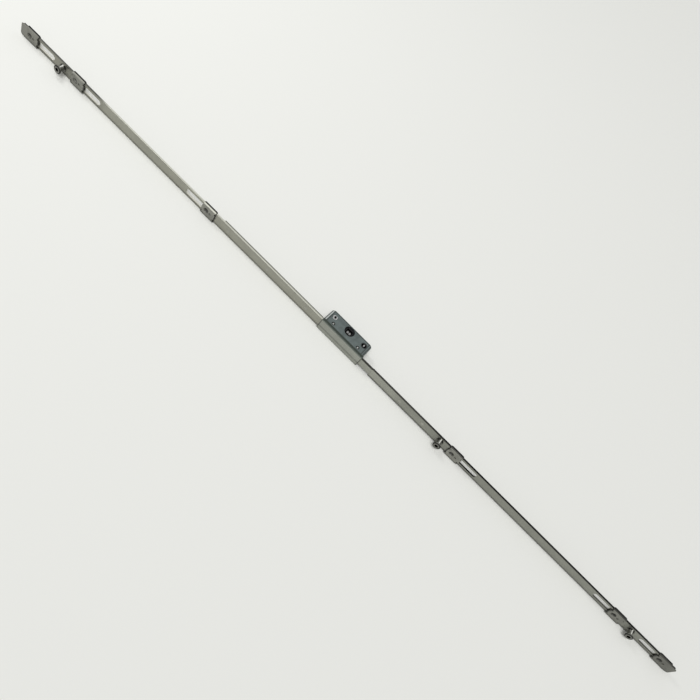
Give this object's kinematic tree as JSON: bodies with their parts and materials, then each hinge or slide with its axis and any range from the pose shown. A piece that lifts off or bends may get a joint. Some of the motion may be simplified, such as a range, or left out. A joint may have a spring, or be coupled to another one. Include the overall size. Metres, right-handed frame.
{
  "type": "espagnolette mechanism",
  "caption": "Window espagnolette: a spindle gear case drives a slotted sliding rail with loose screw-on guides and eccentric mushroom locking cams.",
  "frame": {"origin": "on the spindle axis, half way through the gear case", "axes": "+X along the bar, -Y out of the bar's front face, +Z along the spindle"},
  "size_m": [0.9708, 0.0313, 0.0158],
  "materials": {
    "plated_steel": "zinc-plated, satin",
    "cast_guide": "cast zinc alloy, satin grey",
    "cast_case": "cast zinc alloy, bluish grey",
    "plated_cover": "zinc-plated, brushed along the bar",
    "turned_cam": "turned and plated",
    "black_follower": "blackened steel"
  },
  "bodies": {
    "gear_case": {"case_body": "cast_case", "case_lid": "cast_case", "front_cover": "plated_cover", "case_rivets": "cast_case"},
    "drive_rail": {"rail_left": "plated_steel", "rail_right": "plated_steel", "rack_bar": "plated_steel", "rack_rivets_left": "plated_steel", "rack_rivets_right": "plated_steel", "cam_washer_left": "plated_steel", "cam_washer_middle": "plated_steel", "cam_washer_right": "plated_steel"},
    "follower": {"follower": "black_follower"},
    "end_guide_left": {"end_guide_left": "cast_guide", "end_keeper_left": "plated_steel"},
    "guide_left_outer": {"guide_left_outer": "cast_guide", "keeper_left_outer": "plated_steel"},
    "guide_left_inner": {"guide_left_inner": "cast_guide", "keeper_left_inner": "plated_steel"},
    "guide_right_inner": {"guide_right_inner": "cast_guide", "keeper_right_inner": "plated_steel"},
    "guide_right_outer": {"guide_right_outer": "cast_guide", "keeper_right_outer": "plated_steel"},
    "end_guide_right": {"end_guide_right": "cast_guide", "end_keeper_right": "plated_steel"},
    "cam_left": {"cam_left": "turned_cam"},
    "cam_middle": {"cam_middle": "turned_cam"},
    "cam_right": {"cam_right": "turned_cam"}
  },
  "joints": [
    {"name": "rail_slide", "type": "slide", "parent": "gear_case", "child": "drive_rail", "axis": [1, 0, 0], "range_m": [-0.018, 0]},
    {"name": "follower_turn", "type": "hinge", "parent": "gear_case", "child": "follower", "pos_m": [0, 0, 0], "axis": [0, 0, 1], "range_deg": [-90, 0]},
    {"name": "end_guide_left_slide", "type": "slide", "parent": "drive_rail", "child": "end_guide_left", "axis": [1, 0, 0], "range_m": [0, 0.025]},
    {"name": "guide_left_outer_slide", "type": "slide", "parent": "drive_rail", "child": "guide_left_outer", "axis": [1, 0, 0], "range_m": [0, 0.025]},
    {"name": "guide_left_inner_slide", "type": "slide", "parent": "drive_rail", "child": "guide_left_inner", "axis": [1, 0, 0], "range_m": [-0.025, 0]},
    {"name": "guide_right_inner_slide", "type": "slide", "parent": "drive_rail", "child": "guide_right_inner", "axis": [1, 0, 0], "range_m": [0, 0.025]},
    {"name": "guide_right_outer_slide", "type": "slide", "parent": "drive_rail", "child": "guide_right_outer", "axis": [1, 0, 0], "range_m": [-0.025, 0]},
    {"name": "end_guide_right_slide", "type": "slide", "parent": "drive_rail", "child": "end_guide_right", "axis": [1, 0, 0], "range_m": [-0.025, 0]},
    {"name": "cam_left_turn", "type": "hinge", "parent": "drive_rail", "child": "cam_left", "pos_m": [-0.4125, -0.01366, 0], "axis": [0, -1, 0], "continuous": true},
    {"name": "cam_middle_turn", "type": "hinge", "parent": "drive_rail", "child": "cam_middle", "pos_m": [0.1495, -0.01366, 0], "axis": [0, -1, 0], "continuous": true},
    {"name": "cam_right_turn", "type": "hinge", "parent": "drive_rail", "child": "cam_right", "pos_m": [0.4345, -0.01366, 0], "axis": [0, -1, 0], "continuous": true}
  ],
  "couplings": [
    {"joint": "follower_turn", "follows": "rail_slide", "rad_per_m": 87.266}
  ]
}
